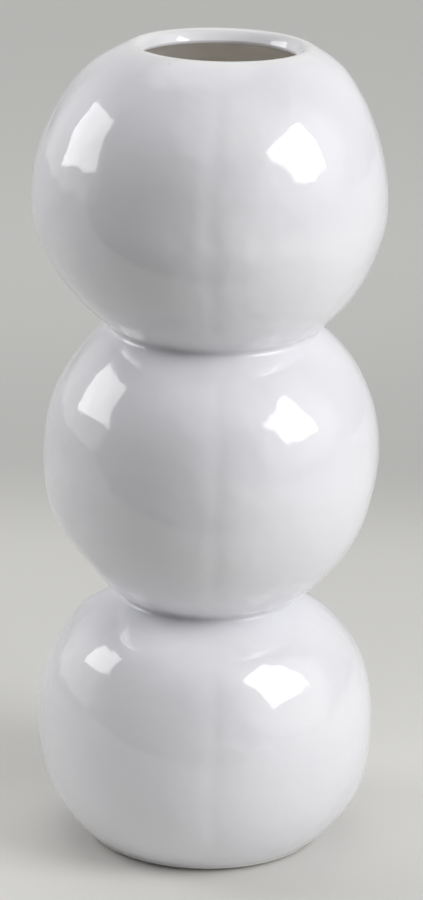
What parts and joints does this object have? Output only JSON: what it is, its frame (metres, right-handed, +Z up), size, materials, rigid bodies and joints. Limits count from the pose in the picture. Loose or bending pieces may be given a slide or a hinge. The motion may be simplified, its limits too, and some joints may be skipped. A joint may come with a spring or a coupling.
{
  "type": "globe vase",
  "caption": "Tall white glazed ceramic vase of hollow globes stacked on one axis, open at a rounded mouth and standing on a flat foot ring, for cut flowers and stems.",
  "frame": {"origin": "on the plane of the foot, under the middle of the vase's footprint", "axes": "+Z up through the mouth, +X to the right and +Y away from the viewer in the picture"},
  "size_m": [0.1616, 0.16, 0.3748],
  "materials": {
    "white_glaze": "glossy white glaze"
  },
  "bodies": {
    "root": {"bottom_globe": "white_glaze", "lower_joint_ring": "white_glaze", "middle_globe": "white_glaze", "upper_joint_ring": "white_glaze", "top_globe": "white_glaze"}
  },
  "joints": []
}
